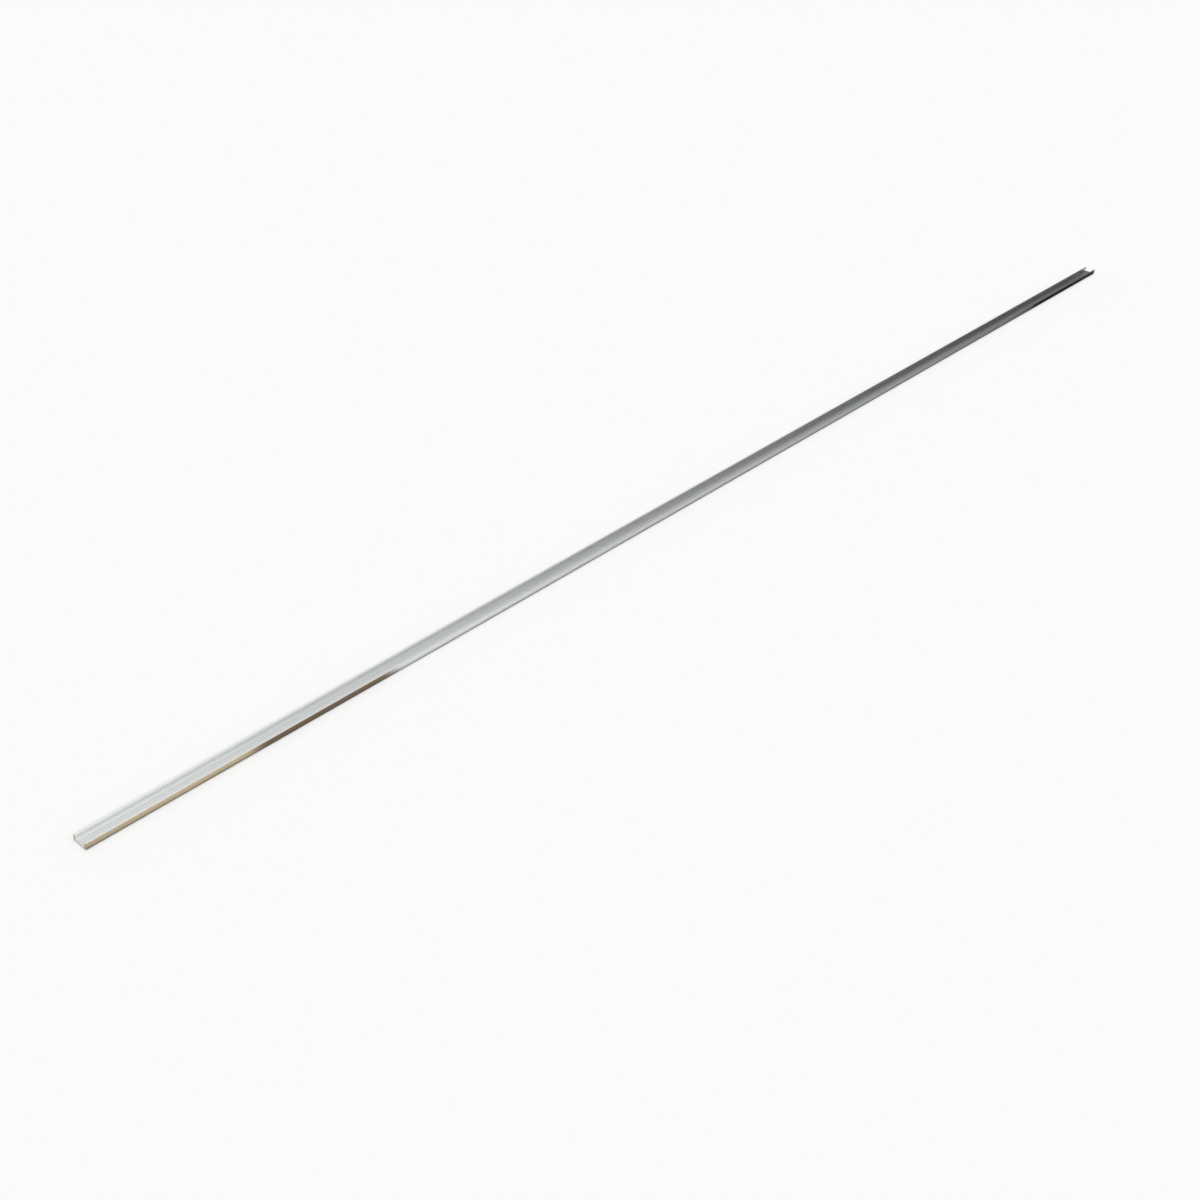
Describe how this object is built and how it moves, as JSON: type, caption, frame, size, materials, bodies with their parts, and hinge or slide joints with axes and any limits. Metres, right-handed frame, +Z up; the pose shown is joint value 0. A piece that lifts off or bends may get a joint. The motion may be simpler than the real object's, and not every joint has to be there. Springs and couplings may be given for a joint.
{
  "type": "aluminium channel profile",
  "caption": "Silver anodised aluminium channel extrusion with a flat floor, low side walls and undercut lips for a snap-in cover, square cut at both ends.",
  "frame": {"origin": "middle of the underside, on the surface that the profile lies on", "axes": "+X along the length, +Y across the section, +Z up out of the open mouth"},
  "size_m": [2, 0.0174, 0.007],
  "materials": {
    "anodised_aluminium": "satin silver anodised, with fine die lines along the length"
  },
  "bodies": {
    "root": {"channel_profile": "anodised_aluminium"}
  },
  "joints": []
}
